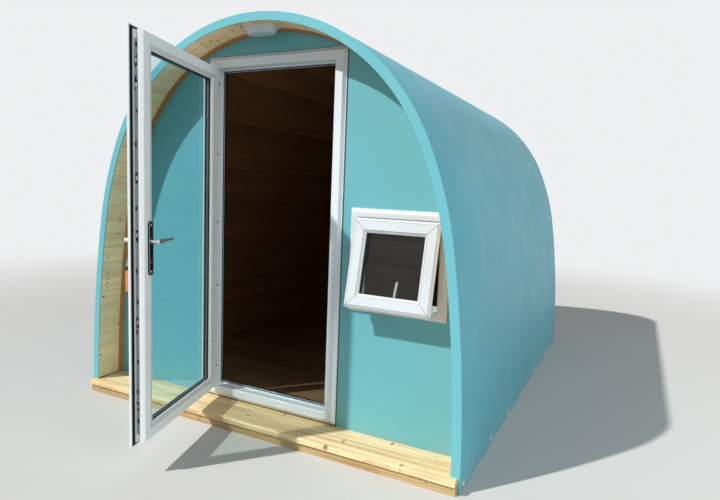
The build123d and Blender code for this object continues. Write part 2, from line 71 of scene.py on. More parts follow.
# Boards and floor planks, and the shortest offcut that is still laid
BOARD_COVER, BOARD_THICKNESS = 0.092, 0.012
BOARD_CHAMFER, PORCH_CHAMFER = 0.0028, 0.0014
PLANK_WIDTH, PLANK_LENGTH = 0.193, 1.18
SHORTEST = 0.004

# Places read from the frame
WALL_Y, WALL_BACK = [corner.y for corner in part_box("front_wall_left")]
FRONT_Y, REAR_Y = [corner.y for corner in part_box("end_fascias")]
SKIN_FRONT, SKIN_REAR = FRONT_Y + FASCIA_THICKNESS, REAR_Y - FASCIA_THICKNESS
REAR_WALL_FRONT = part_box("rear_wall")[0].y
FLOOR_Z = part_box("floor_laminate")[1].z
STEP_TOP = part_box("step_top_board")[1].z
DOOR_LOW, DOOR_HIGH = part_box("door_frame_left")[0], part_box("door_frame_right")[1]
WINDOW_LOW, WINDOW_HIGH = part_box("window_frame")
SASH_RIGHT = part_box("window_sash")[1].x

# The leaf is drawn shut, then TO_OPEN carries it round its hinge; TO_TILT turns a shut pane
JOINTS = {joint["name"]: joint for joint in frame["joints"]}
HINGE = Vector(JOINTS["door_hinge"]["pos_m"])
OPENING = Matrix.Rotation(radians(JOINTS["door_hinge"]["range_deg"][0]), 4, "Z")
TO_OPEN = Matrix.Translation(HINGE) @ OPENING @ Matrix.Translation(-HINGE)
SASH_TILT = radians(12.1)
TO_TILT = Matrix.Rotation(-SASH_TILT, 4, "X")

# The shut leaf and its furniture
LEAF_INSET, LEAF_STEP, BACKSET = 0.05, 0.02, 0.045
LEAF_EDGE = DOOR_HIGH.x - LEAF_INSET - LEAF_STEP
LEAF_OUTER = HINGE.y
LEAF_INNER = LEAF_OUTER + 0.067
STRIP_Y = LEAF_OUTER + 0.033
SPINDLE_X = LEAF_EDGE - BACKSET
SPINDLE_Z = Vector(JOINTS["lever_turn"]["pos_m"]).z
CYLINDER_Z = SPINDLE_Z - 0.092


# The arch
def polar(radius, angle):
    return Vector((radius * cos(angle), radius * sin(angle)))


SIDE_CENTRE = Vector((HALF_WIDTH - SIDE_RADIUS, 0))
SHOULDER_CENTRE = SIDE_CENTRE + polar(SIDE_RADIUS - SHOULDER_RADIUS, SIDE_ANGLE)
CROWN_ANGLE = SIDE_ANGLE + SHOULDER_ANGLE
CROWN_RADIUS = SHOULDER_RADIUS + SHOULDER_CENTRE.x / cos(CROWN_ANGLE)
CROWN_CENTRE = SHOULDER_CENTRE + polar(SHOULDER_RADIUS - CROWN_RADIUS, CROWN_ANGLE)
ARCS = ((SIDE_ANGLE, SIDE_CENTRE, SIDE_RADIUS), (CROWN_ANGLE, SHOULDER_CENTRE, SHOULDER_RADIUS),
        (pi / 2, CROWN_CENTRE, CROWN_RADIUS))


def arch_point(inset, angle):
    """Point (x, z) of the arch, moved in by inset, where its normal has this angle from +X."""
    right = min(angle, pi - angle)
    centre, radius = next(arc[1:] for arc in ARCS if right <= arc[0])
    point = centre + polar(radius - inset, right)
    return point if angle <= pi / 2 else Vector((-point.x, point.y))


def arch_arcs(inset):
    """The five arcs as (start angle, end angle, radius), from the right foot to the left."""
    stops = [0, SIDE_ANGLE, CROWN_ANGLE, pi - CROWN_ANGLE, pi - SIDE_ANGLE, pi]
    radii = [SIDE_RADIUS, SHOULDER_RADIUS, CROWN_RADIUS, SHOULDER_RADIUS, SIDE_RADIUS]
    return [(start, end, radius - inset) for start, end, radius in zip(stops, stops[1:], radii)]


def angle_at(inset, distance):
    """Angle of the arch at a distance along it from its right foot."""
    for start, end, radius in arch_arcs(inset):
        if distance <= (end - start) * radius:
            return start + distance / radius
        distance -= (end - start) * radius
    return pi


def half_width(inset, height):
    """Distance from the middle to the arch at a height."""
    below = [arc for arc in ARCS[:2] if height <= arch_point(inset, arc[0]).y]
    centre, radius = (below or ARCS[2:])[0][1:]
    reach = (radius - inset) ** 2 - (height - centre.y) ** 2
    return centre.x + sqrt(reach) if reach > 0 else 0


LINING_LENGTH = sum((end - start) * radius for start, end, radius in arch_arcs(SHELL_THICKNESS))
BOARD_COUNT = round(LINING_LENGTH / BOARD_COVER)


def board_angle(number, shift=0.0):
    """Angle of the arch at the middle of a lining board, or at a shift along the arch from it."""
    return angle_at(SHELL_THICKNESS, (number + 0.5) * LINING_LENGTH / BOARD_COUNT + shift)


def lining_at(angle):
    """Point (x, z) on the face of the lining, and the directions out of the arch and along it."""
    out = polar(1, angle)
    return arch_point(SHELL_THICKNESS, angle), out, Vector((-out.y, out.x))


# Colours and shader helpers
def srgb(colour):
    """A colour as it looks on a screen, 0 to 255, turned into the values a shader takes."""
    def linear(value):
        value /= 255
        return value / 12.92 if value <= 0.04045 else ((value + 0.055) / 1.055) ** 2.4
    return (*map(linear, colour), 1)


def feed(tree, node, values):
    """Set each named socket of a node to a constant, or join another node's socket to it."""
    for key, value in values.items():
        if isinstance(value, bpy.types.NodeSocket):
            tree.links.new(value, node.inputs[key])
        else:
            node.inputs[key].default_value = value
    return node


def tune(item, **settings):
    """Set several of an item's settings."""
    for name, setting in settings.items():
        setattr(item, name, setting)
    return item


def add(tree, kind, values={}, **settings):
    return feed(tree, tune(tree.nodes.new("ShaderNode" + kind), **settings), values)


def calc(tree, operation, first, second=0.0):
    return add(tree, "Math", {0: first, 1: second}, operation=operation).outputs[0]


def plus(tree, first, second):
    return calc(tree, "ADD", first, second)


def times(tree, first, second):
    return calc(tree, "MULTIPLY", first, second)


def fade(tree, value, start, end, low=0.0, high=1.0):
    """Smooth step from low to high as value goes from start to end."""
    values = {"Value": value, "From Min": start, "From Max": end, "To Min": low, "To Max": high}
    return add(tree, "MapRange", values, interpolation_type="SMOOTHSTEP").outputs["Result"]


def blend(tree, share, first, second, way="MIX"):
    node = add(tree, "Mix", {0: share, 6: first, 7: second}, data_type="RGBA", blend_type=way)
    return node.outputs[2]


def stretch(tree, place, scale):
    return add(tree, "VectorMath", {0: place, 1: scale}, operation="MULTIPLY").outputs[0]


def noise(tree, place, scale, detail=2.0, roughness=0.5):
    """Noise from 0 to 1; a scale of three numbers stretches it along the axes."""
    if isinstance(scale, tuple):
        place, scale = stretch(tree, place, scale), 1.0
    values = {"Vector": place, "Scale": scale, "Detail": detail, "Roughness": roughness}
    return add(tree, "TexNoise", values).outputs["Fac"]


def length(tree, place):
    return add(tree, "VectorMath", {0: place}, operation="LENGTH").outputs["Value"]


def object_place(tree):
    return add(tree, "TexCoord").outputs["Object"]


def new_group(name, inputs, outputs):
    """A shader node group. Inputs are name: default; outputs are names of plain values."""
    group = bpy.data.node_groups.new(name, "ShaderNodeTree")
    for key, default in inputs.items():
        kind = "NodeSocketVector" if isinstance(default, tuple) else "NodeSocketFloat"
        socket = group.interface.new_socket(key, in_out="INPUT", socket_type=kind)
        socket.default_value = default
    for key in outputs:
        group.interface.new_socket(key, in_out="OUTPUT", socket_type="NodeSocketFloat")
    given = group.nodes.new("NodeGroupInput").outputs
    return group, given, group.nodes.new("NodeGroupOutput")


def place_group(tree, group, **values):
    values = {key.replace("_", " "): value for key, value in values.items()}
    return add(tree, "Group", values, node_tree=group)


# Effects that several materials share
def timber_grain_group():
    """Growth rings, fibres and knots. Place is metres: along the grain, across it, through it."""
    inputs = {"Place": (0, 0, 0), "Ring Spacing": 0.006, "Waviness": 0.02, "Knot Size": 0.1,
              "Bend": 0.0}
    group, given, put = new_group("timber_grain", inputs, ["Rings", "Fibres", "Knots", "Broad"])
    place, knot_size = given["Place"], given["Knot Size"]
    cells = add(group, "TexVoronoi", {"Vector": stretch(group, place, (3.7, 8.5, 8.5)), "Scale": 1})
    distance = cells.outputs["Distance"]
    parts = add(group, "SeparateXYZ", {0: place})

    # Rings lie round a pith below the board, swayed by noise and pushed aside by knots
    wobble = noise(group, place, (1.6, 9, 9))
    sway = times(group, wobble, given["Waviness"])
    push = plus(group, fade(group, distance, 0.42, 0.0, 0.0, 0.014), given["Bend"])
    across = plus(group, plus(group, parts.outputs["Y"], sway), push)
    depth = plus(group, parts.outputs["Z"], 0.07)
    squares = plus(group, times(group, across, across), times(group, depth, depth))
    turns = calc(group, "DIVIDE", calc(group, "SQRT", squares), given["Ring Spacing"])
    feed(group, put, {
        "Rings": calc(group, "POWER", calc(group, "FRACT", turns), 2.2),
        "Fibres": noise(group, place, (7, 420, 420), 3.0),
        "Knots": fade(group, distance, knot_size, times(group, knot_size, 0.55)),
        "Broad": noise(group, place, (2.2, 14, 14), 3.0),
    })
    return group


def ground_dirt_group():
    """Splashes and dust, strongest at the ground and gone at a given height."""
    inputs = {"Place": (0, 0, 0), "Reach": 0.3, "Patch Scale": 9.0}
    group, given, put = new_group("ground_dirt", inputs, ["Dirt", "Streaks"])
    place = given["Place"]
    height = add(group, "SeparateXYZ", {0: place}).outputs["Z"]
    patches = noise(group, place, given["Patch Scale"], 5.0, 0.65)
    low = fade(group, height, given["Reach"], 0.0)
    dirt = fade(group, plus(group, patches, times(group, low, 0.3)), 0.62, 0.86)
    runs = noise(group, place, (26, 26, 1.1), 3.0)
    feed(group, put, {"Dirt": times(group, dirt, low),
                      "Streaks": fade(group, runs, 0.54, 0.74)})
    return group


def moulded_surface_group():
    """Faint waves and orange-peel of a moulded or extruded surface, and a broad tone change."""
    inputs = {"Place": (0, 0, 0), "Wave Scale": 4.0, "Peel Scale": 400.0}
    group, given, put = new_group("moulded_surface", inputs, ["Wave", "Peel", "Tone"])
    place = given["Place"]
    feed(group, put, {"Wave": noise(group, place, given["Wave Scale"], 1.0),
                      "Peel": noise(group, place, given["Peel Scale"]),
                      "Tone": noise(group, place, 1.3, 3.0)})
    return group


TIMBER_GRAIN = timber_grain_group()
GROUND_DIRT = ground_dirt_group()
MOULDED_SURFACE = moulded_surface_group()


# Knots on the step: x, y, z, length along the grain, width across it
STEP_KNOTS = [
    (-0.015, -1.469, 0.075, 0.03, 0.02), (0.153, -1.352, 0.075, 0.022, 0.026),
    (0.428, -1.356, 0.075, 0.02, 0.018), (0.593, -1.470, 0.075, 0.018, 0.046),
    (0.819, -1.366, 0.075, 0.02, 0.04), (0.944, -1.542, 0.073, 0.028, 0.022),
    (0.540, -1.558, 0.068, 0.036, 0.024), (-0.52, -1.44, 0.075, 0.024, 0.02),
    (-0.93, -1.50, 0.075, 0.026, 0.022),
]
# Knots on the left porch boards: y, z, radius
PORCH_KNOTS = [
    (-1.430, 1.010, 0.0042), (-1.487, 0.862, 0.0045), (-1.482, 0.765, 0.0036),
    (-1.476, 0.725, 0.0045), (-1.478, 0.699, 0.0038), (-1.482, 0.667, 0.0034),
    (-1.500, 0.612, 0.0055), (-1.385, 0.491, 0.0036), (-1.382, 0.409, 0.0036),
    (-1.508, 0.227, 0.0045),
]
# Knots on the porch boards under the crown: x, y, radius
CROWN_KNOTS = [
    (-0.425, -1.459, 0.004), (-0.371, -1.473, 0.0034), (-0.380, -1.427, 0.0036),
    (-0.327, -1.447, 0.005), (-0.303, -1.418, 0.0046), (-0.250, -1.433, 0.0042),
    (-0.253, -1.394, 0.0034), (-0.168, -1.461, 0.0055), (-0.101, -1.469, 0.0046),
]


# Materials
def new_finish(name, **constants):
    """A material with its Principled shader; the constants are set on the shader's own sockets."""
    material = bpy.data.materials.new(name)
    material.use_nodes = True
    tree = material.node_tree
    shader = tree.nodes["Principled BSDF"]
    return material, tree, feed(tree, shader, {
        key.replace("_", " "): value for key, value in constants.items()})


def bump(tree, height, strength, distance, **normal):
    values = {"Height": height, "Strength": strength, "Distance": distance, **normal}
    return add(tree, "Bump", values).outputs["Normal"]


def moulded(name, colour, deeper, roughness, wave=0.0, peel=0.15, dirt=0.0, reach=0.3,
            soil=(150, 140, 118), streaks=0.0, **constants):
    """Gel coat, white frame plastic and other moulded or painted surfaces."""
    material, tree, shader = new_finish(name, **constants)
    place = object_place(tree)
    surface = place_group(tree, MOULDED_SURFACE, Place=place).outputs
    marks = place_group(tree, GROUND_DIRT, Place=place, Reach=reach).outputs
    tone = fade(tree, surface["Tone"], 0.3, 0.7)
    base = blend(tree, tone, srgb(colour), srgb(deeper))
    if streaks:
        run = times(tree, marks["Streaks"], streaks)
        base = blend(tree, run, base, srgb(soil))
    soiled = times(tree, marks["Dirt"], dirt)
    uneven = fade(tree, surface["Wave"], 0.3, 0.7, roughness - 0.04, roughness + 0.04)
    waves = bump(tree, surface["Wave"], wave, 0.02)
    feed(tree, shader, {
        "Base Color": blend(tree, soiled, base, srgb(soil)),
        "Roughness": plus(tree, uneven, times(tree, soiled, 0.4)),
        "Normal": bump(tree, surface["Peel"], peel, 0.0004, Normal=waves),
    })
    return material


def knot_distance(tree, place, knots):
    """Distance from the nearest knot, each (x, y, z, length, width), 1 at its rim."""
    nearest = 99.0
    for *centre, along, across in knots:
        apart = add(tree, "VectorMath", {0: place, 1: centre}, operation="SUBTRACT").outputs[0]
        scaled = stretch(tree, apart, (2 / along, 2 / across, 1 / across))
        nearest = calc(tree, "MINIMUM", nearest, length(tree, scaled))
    return nearest


def timber(name, pale, dark, knot, roughness, boards=False, ring_spacing=0.0055,
           knot_size=0.1, ring_share=0.55, tone_range=0.3, knots=(), streaks=0.3):
    """Wood. Boards carry their own grain_place and board_tone; CAD pieces run along X."""
    material, tree, shader = new_finish(name)
    if boards:
        place = add(tree, "Attribute", attribute_name="grain_place").outputs["Vector"]
        tone = add(tree, "Attribute", attribute_name="board_tone").outputs["Fac"]
    else:
        place = object_place(tree)
        tone = noise(tree, place, 0.7)
    group = place_group(tree, TIMBER_GRAIN, Place=place, Ring_Spacing=ring_spacing,
                        Knot_Size=knot_size)
    grain, dark, knot = group.outputs, srgb(dark), srgb(knot)
    runs = noise(tree, place, (1.3, 46, 46), 4.0, 0.6)
    base = srgb(pale)
    for share, colour in (
        (times(tree, grain["Rings"], ring_share), dark),
        (fade(tree, grain["Broad"], 0.35, 0.7, 0.0, 0.35), dark),
        (fade(tree, grain["Fibres"], 0.35, 0.75, 0.0, 0.3), dark),
        (fade(tree, runs, 0.46, 0.68, 0.0, streaks), dark),
        (times(tree, grain["Knots"], 0.9), knot),
    ):
        base = blend(tree, share, base, colour)
    if knots:
        distance = knot_distance(tree, place, knots)
        feed(tree, group, {"Bend": fade(tree, distance, 4.5, 0.6, 0.0, 0.02)})
        base = blend(tree, fade(tree, distance, 1.15, 0.8, 0.0, 0.55), base, dark)
        base = blend(tree, fade(tree, distance, 0.8, 0.3, 0.0, 0.85), base, knot)
    shade = fade(tree, tone, 0.0, 1.0, 1.0 - tone_range, 1.0)
    grey = add(tree, "CombineColor", {0: shade, 1: shade, 2: shade}).outputs[0]
    relief = plus(tree, grain["Fibres"], times(tree, grain["Rings"], 0.7))
    feed(tree, shader, {
        "Base Color": blend(tree, 1.0, base, grey, "MULTIPLY"),
        "Roughness": fade(tree, grain["Fibres"], 0.3, 0.8, roughness - 0.06, roughness + 0.08),
        "Normal": bump(tree, relief, 0.35, 0.0006),
    })
    return material


def metal(name, colour, deeper, roughness, metallic=1.0, **constants):
    """Plated or painted metal with fine drawn lines and handling marks."""
    material, tree, shader = new_finish(name, Metallic=metallic, **constants)
    place = object_place(tree)
    lines = noise(tree, place, (40, 900, 40))
    smears = fade(tree, noise(tree, place, 60.0, 3.0), 0.3, 0.75, roughness, roughness + 0.15)
    feed(tree, shader, {
        "Base Color": blend(tree, lines, srgb(colour), srgb(deeper)),
        "Roughness": plus(tree, smears, times(tree, lines, 0.06)),
        "Normal": bump(tree, lines, 0.12, 0.0002),
    })
    return material


def surface_mix(tree, share, shader, through, output="Material Output"):
    joined = add(tree, "MixShader", {0: share, 1: shader.outputs[0], 2: through.outputs[0]})
    feed(tree, tree.nodes[output], {"Surface": joined.outputs[0]})


def glass(name, tint):
    """Clear glass with a little dust. Light that only lights other pieces passes through."""
    material, tree, shader = new_finish(
        name, Transmission_Weight=1.0, IOR=1.22, Metallic=0.0, Base_Color=tint)
    smears = noise(tree, object_place(tree), 6.0, 4.0)
    feed(tree, shader, {"Roughness": fade(tree, smears, 0.55, 0.9, 0.0, 0.015)})
    rays = add(tree, "LightPath").outputs
    passing = calc(tree, "MAXIMUM", rays["Is Shadow Ray"], rays["Is Diffuse Ray"])
    through = add(tree, "BsdfTransparent", {"Color": (0.81, 0.84, 0.83, 1)})
    surface_mix(tree, passing, shader, through)
    return material


GEL_COAT = moulded(
    "teal_gel_coat", (98, 176, 192), (92, 168, 184), 0.5, wave=0.004, peel=0.06, dirt=0.2,
    reach=0.35, soil=(176, 196, 190), streaks=0.04, Specular_IOR_Level=0.35)
FASCIA_PAINT = moulded(
    "teal_fascia", (110, 190, 200), (104, 185, 196), 0.4, wave=0.01, dirt=0.3, reach=0.2)
FRONT_PANEL = moulded(
    "teal_front_panel", (108, 183, 192), (102, 177, 187), 0.4, wave=0.01, dirt=0.3)
FRAME_PLASTIC = moulded(
    "white_frame_plastic", (230, 239, 245), (226, 236, 243), 0.32, peel=0.05, dirt=0.25, reach=0.2,
    soil=(196, 188, 168), streaks=0.015)
# The window frame's white darkens and turns beige towards its bottom, up to 1.1 m: painted shade on
# its lower members, and soiling
PLASTIC_DARKER_LOW = moulded(
    "white_plastic_darker_low", (222, 226, 228), (216, 218, 214), 0.42, peel=0.1, dirt=0.3,
    reach=1.1, soil=(190, 182, 160), streaks=0.05)
# The sash's white is a greyer copy of the frames' white plastic: painted shade offsetting the sun
# on the tilted sash
SASH_SHADED_PLASTIC = moulded(
    "sash_white_painted_shade", (212, 219, 223), (208, 215, 220), 0.32, peel=0.05, dirt=0.1)
LEAF_PLASTIC = moulded(
    "white_leaf_plastic", (235, 240, 243), (231, 237, 240), 0.3, peel=0.05, dirt=0.2,
    soil=(196, 188, 168), streaks=0.015)
SEAL_RUBBER = moulded(
    "black_seal", (15, 16, 18), (9, 10, 12), 0.65, peel=0.4, dirt=0.2, Specular_IOR_Level=0.25)
PORCH_PINE = timber(
    "porch_pine", (255, 236, 192), (234, 190, 132), (84, 50, 28), 0.55, boards=True, knot_size=0.06,
    ring_share=0.4, tone_range=0.13, streaks=0.6)
# The room's boards, on the arch and both end walls, are the porch's pine in a darker copy: painted
# shade for the dim inside
ROOM_SHADED_PINE = timber(
    "room_boards", (176, 128, 84), (130, 84, 48), (44, 26, 16), 0.5, boards=True, knot_size=0.085)
STEP_PINE = timber(
    "step_pine", (255, 242, 196), (204, 162, 104), (104, 66, 38), 0.6, ring_spacing=0.007,
    knot_size=0.06, ring_share=0.6, tone_range=0.1, streaks=0.85, knots=STEP_KNOTS)
# The step's front board is a darker copy of the step's pine: painted shade under the nose of the
# top board
STEP_FRONT_SHADED_PINE = timber(
    "step_front_pine_painted_shade", (214, 190, 138), (170, 132, 82), (104, 66, 38), 0.62, ring_spacing=0.006,
    knot_size=0.12, ring_share=0.6, tone_range=0.1, streaks=0.7)
BASE_TIMBER = timber("base_timber", (166, 138, 92), (112, 88, 56), (60, 40, 24), 0.75)
BEAD_STAIN = timber(
    "stained_bead", (206, 146, 80), (150, 98, 48), (60, 36, 18), 0.5, ring_share=0.4)
FLOOR_PLANK = timber(
    "floor_planks", (172, 138, 104), (128, 96, 68), (70, 48, 32), 0.34, boards=True,
    ring_spacing=0.009, knot_size=0.05)
PLATED_STEEL = metal("plated_steel", (186, 190, 192), (140, 146, 148), 0.26)
BRIGHT_CHROME = metal("bright_chrome", (238, 240, 242), (214, 217, 220), 0.14, 0.8)
BLACK_PLATE = metal("black_plate", (30, 30, 32), (20, 20, 22), 0.22, 0.3, Coat_Weight=0.5)
LOCK_STEEL = metal("lock_steel", (170, 178, 180), (96, 106, 108), 0.42, 0.8)
# Painted shade in screw drives, latch openings and the key slot; also the black strap clip and cap
# centres
RECESS_SHADE_AND_BLACK = moulded("painted_recess_shade_and_black", (20, 21, 22), (12, 12, 13), 0.7)
# The window handle's white is brighter than the other white plastics: painted light for the sun
# through the glass
HANDLE_LIT_WHITE = moulded("handle_white_painted_light", (252, 252, 250), (246, 247, 245), 0.3)
WHITE_METAL = moulded("white_hinges", (232, 233, 232), (222, 224, 222), 0.35)
LAMP_PLASTIC = moulded("lamp_plastic", (228, 222, 198), (218, 211, 186), 0.4)
LAMP_BOWL = moulded(
    "lamp_diffuser", (204, 212, 222), (196, 205, 216), 0.3, Subsurface_Weight=0.4,
    Subsurface_Scale=0.02, Coat_Weight=0.3)
CLEAR_GLASS = glass("clear_glass", (0.97, 0.985, 0.98, 1))
DOOR_GLASS = glass("door_glass", (0.84, 0.94, 0.965, 1))
SPACER_BAR = moulded("black_spacer", (13, 14, 16), (8, 9, 10), 0.7, Specular_IOR_Level=0.2)
SPACER_FACE = moulded("grey_spacer_face", (74, 80, 84), (62, 68, 71), 0.5)
# Dark teal sealant round the door frame, its colour painted shade in the angle between frame and
# panel
SEALANT_AND_SHADE = moulded("sealant_and_painted_shade", (44, 72, 76), (34, 58, 62), 0.6, peel=0.5)
SHADE_LINE = moulded("bead_shade_line", (66, 71, 72), (54, 58, 60), 0.7)
# Grey of the sash's weld lines, also used for painted shade along the steps of its profile
WELD_AND_SHADE_LINE = moulded("weld_and_shade_line", (150, 152, 150), (132, 134, 132), 0.6)
NAIL_HOLE = moulded("nail_hole_stain", (40, 23, 13), (26, 15, 9), 0.8, Specular_IOR_Level=0.1)
ORANGE_FOB = moulded("orange_fob", (222, 146, 94), (200, 118, 66), 0.5)


# CAD nodes that stay
def dress(material, *names):
    for name in names:
        slots = nodes[name].data.materials
        slots.clear()
        slots.append(material)


def round_edges(width, *names, segments=2):
    """Break the sharp edges of CAD nodes, which also draws their mitred joints."""
    sharp = radians(28)
    for name in names:
        piece = nodes[name]
        piece.data.attributes.remove(piece.data.attributes["custom_normal"])
        tune(piece.modifiers.new("weld", "WELD"), merge_threshold=1e-5)
        tune(piece.modifiers.new("rounded_edges", "BEVEL"), width=width, segments=segments,
             limit_method="ANGLE", angle_limit=sharp, harden_normals=True, use_clamp_overlap=True)
        for polygon in piece.data.polygons:
            polygon.use_smooth = True
        piece.data.set_sharp_from_angle(angle=sharp)


DOOR_FRAME_NODES = ["door_frame_" + side for side in ("left", "right", "head", "threshold")]
LEAF_NODES = ["door_" + part for part in (
    "hinge_stile", "lock_stile", "top_rail", "bottom_rail", "glazing_bead")]
dress(FRAME_PLASTIC, *DOOR_FRAME_NODES)
dress(LEAF_PLASTIC, *LEAF_NODES)
dress(SASH_SHADED_PLASTIC, "window_sash")
dress(PLASTIC_DARKER_LOW, "window_frame")
dress(SEAL_RUBBER, "door_frame_gasket", "door_gaskets", "window_gaskets")
dress(LOCK_STEEL, "door_lock_strip")
dress(PLATED_STEEL, "window_stays", "door_lock_cylinder")
dress(BLACK_PLATE, "door_backplates")
dress(BRIGHT_CHROME, "door_lever_handles")
dress(WHITE_METAL, "hinges_on_frame", "hinges_on_leaf")
dress(HANDLE_LIT_WHITE, "window_handle")
dress(LAMP_PLASTIC, "lamp_base")
dress(LAMP_BOWL, "lamp_bowl")
dress(FRONT_PANEL, "front_wall_left", "front_wall_head", "front_wall_right", "rear_wall")
dress(FASCIA_PAINT, "end_fascias")
dress(BEAD_STAIN, "front_bead")
dress(STEP_PINE, "step_top_board")
dress(STEP_FRONT_SHADED_PINE, "step_front_board")
dress(BASE_TIMBER, "base_side_joists", "base_cross_joists", "floor_panel", "arch_ribs",
      "door_sill_packer")
dress(CLEAR_GLASS, "window_glass")
dress(DOOR_GLASS, "door_glass")
round_edges(0.0009, *DOOR_FRAME_NODES, *LEAF_NODES, "window_sash", "window_frame")
round_edges(0.0015, "step_top_board", "step_front_board")
round_edges(0.0008, "window_handle", "door_backplates")
round_edges(0.0014, "end_fascias")
round_edges(0.007, "lamp_bowl", segments=4)


# Making pieces
def stand(name, data):
    """A new object in the scene."""
    holder = bpy.data.objects.new(name, data)
    bpy.context.scene.collection.objects.link(holder)
    return holder


class Parts:
    """Collects parts, each made of joined rows of points, into one piece."""

    def __init__(self):
        self.points, self.faces, self.finishes = [], [], []

    def loft(self, rows, finish=0, ends=2, ring=False, open_rows=False):
        """Join rows of points. A row is a loop unless it is open, and ring joins the last row to
        the first. Ends says how many of the first and last rows get a flat face."""
        first, size, count = len(self.points), len(rows[0]), len(rows)
        faces = []
        for r in range(count if ring else count - 1):
            here, there = first + r * size, first + (r + 1) % count * size
            faces += [(here + i, here + (i + 1) % size, there + (i + 1) % size, there + i)
                      for i in range(size - open_rows)]
        self.points += [point for row in rows for point in row]
        if ends:
            faces.append(tuple(range(first + size - 1, first - 1, -1)))
        if ends == 2:
            faces.append(tuple(range(len(self.points) - size, len(self.points))))
        self.faces += faces
        self.finishes += [finish] * len(faces)

    def make(self, name, materials, body, slot, smooth=False):
        mesh = bpy.data.meshes.new(name)
        mesh.from_pydata(self.points, [], self.faces)
        for material in materials:
            mesh.materials.append(material)
        mesh.polygons.foreach_set("material_index", self.finishes)
        mesh.polygons.foreach_set("use_smooth", [smooth] * len(self.faces))
        mesh.update()
        working = bmesh.new()
        working.from_mesh(mesh)
        bmesh.ops.recalc_face_normals(working, faces=working.faces)
        working.to_mesh(mesh)
        working.free()
        piece = stand(name, mesh)
        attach(piece, body)
        return piece


class Boards(Parts):
    """Boards that make one piece, each with its own grain place and tone."""

    def __init__(self, seed):
        super().__init__()
        self.grain, self.tones = [], []
        self.random = Random(seed)

    def add(self, sections, places):
        """A board lofted through sections; places gives each point's (along, across, through)."""
        tone, shift = self.random.random(), self.random.uniform(0, 60)
        side = self.random.uniform(-0.04, 0.04)
        self.grain += [(a + shift, b + side, c) for row in places for a, b, c in row]
        self.tones += [tone] * sum(map(len, sections))
        self.loft(sections)

    def make(self, name, material, body, slot):
        piece = super().make(name, [material], body, slot)
        grain = piece.data.attributes.new("grain_place", "FLOAT_VECTOR", "POINT")
        grain.data.foreach_set("vector", [value for place in self.grain for value in place])
        tone = piece.data.attributes.new("board_tone", "FLOAT", "POINT")
        tone.data.foreach_set("value", self.tones)
        return piece


def board_outline(low, high, thickness, low_chamfer, high_chamfer):
    """Section of a board as (across, depth behind its face), the edges of its face chamfered."""
    outline = [(low, thickness), (low, low_chamfer), (low + low_chamfer, 0),
               (high - high_chamfer, 0), (high, high_chamfer), (high, thickness)]
    if not low_chamfer:
        outline.pop(1)
    if not high_chamfer:
        outline.pop(-2)
    return outline


# Lining boards on the arch
def arch_boards(seed, y0, y1, foot_z, chamfer):
    boards = Boards(seed)
    half = LINING_LENGTH / BOARD_COUNT / 2 - 0.0004
    outline = board_outline(-half, half, BOARD_THICKNESS, chamfer, chamfer)
    for i in range(BOARD_COUNT):
        foot, out, along = lining_at(board_angle(i))
        section = [foot + along * u + out * w for u, w in outline]
        if max(point.y for point in section) >= foot_z + SHORTEST:
            boards.add([[(p.x, y, max(p.y, foot_z)) for p in section] for y in (y0, y1)],
                       [[(y, u, w) for u, w in outline] for y in (y0, y1)])
    return boards


porch_strips = arch_boards(3, SKIN_FRONT, WALL_Y + 0.02, STEP_TOP + 0.006, PORCH_CHAMFER)
porch_boards = porch_strips.make("porch_boards", PORCH_PINE, "pod", "pine_lining")
room_strips = arch_boards(5, WALL_Y + 0.021, SKIN_REAR, 0.0, BOARD_CHAMFER)
room_strips.make("room_boards", ROOM_SHADED_PINE, "pod", "pine_lining")
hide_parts("shell_lining_left", "shell_lining_crown", "shell_lining_right")


# End wall boards
def upright_box(low, high):
    return low.x, high.x, low.z, high.z


def wall_spans(z0, z1, openings):
    """The (x0, x1) runs of a course between the arch and the openings that it meets."""
    reach = min(half_width(SHELL_THICKNESS, z0), half_width(SHELL_THICKNESS, z1))
    spans = [(-reach, reach)]
    for low_x, high_x, low_z, high_z in openings:
        if z1 > low_z and z0 < high_z:
            cut = [(start, min(end, low_x)) for start, end in spans]
            cut += [(max(start, high_x), end) for start, end in spans]
            spans = [(start, end) for start, end in sorted(cut) if end - start > SHORTEST]
    return spans


def end_wall_boards(seed, face_y, back_y, openings):
    """Level boards over an end wall, notched round its openings and cut to the arch."""
    boards = Boards(seed)
    depth = 1 if back_y > face_y else -1
    top = arch_point(SHELL_THICKNESS, pi / 2).y
    count = int((top - FLOOR_Z) / BOARD_COVER) + 1
    stops = [FLOOR_Z + i * BOARD_COVER for i in range(count)] + [top]
    edges = [edge for box in openings for edge in box[2:] if FLOOR_Z < edge < top]
    cuts = sorted(set(stops + edges))
    for z0, z1 in zip(cuts, cuts[1:]):
        if z1 - z0 < SHORTEST:
            continue
        outline = board_outline(z0, z1, BOARD_THICKNESS, BOARD_CHAMFER if z0 in stops else 0,
                                BOARD_CHAMFER if z1 in stops else 0)
        for ends in wall_spans(z0, z1, openings):
            boards.add([[(x, face_y + depth * w, z) for z, w in outline] for x in ends],
                       [[(x, z - z0, w) for z, w in outline] for x in ends])
    return boards


wall_openings = [upright_box(DOOR_LOW, DOOR_HIGH), upright_box(WINDOW_LOW, WINDOW_HIGH)]
front_boards = end_wall_boards(7, WALL_BACK + BOARD_THICKNESS, WALL_BACK, wall_openings)
rear_boards = end_wall_boards(9, REAR_WALL_FRONT - BOARD_THICKNESS, REAR_WALL_FRONT, [])
front_boards.make("front_wall_boards", ROOM_SHADED_PINE, "pod", "pine_lining")
rear_lining = rear_boards.make("rear_wall_boards", ROOM_SHADED_PINE, "pod", "pine_lining")
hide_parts("end_wall_linings")


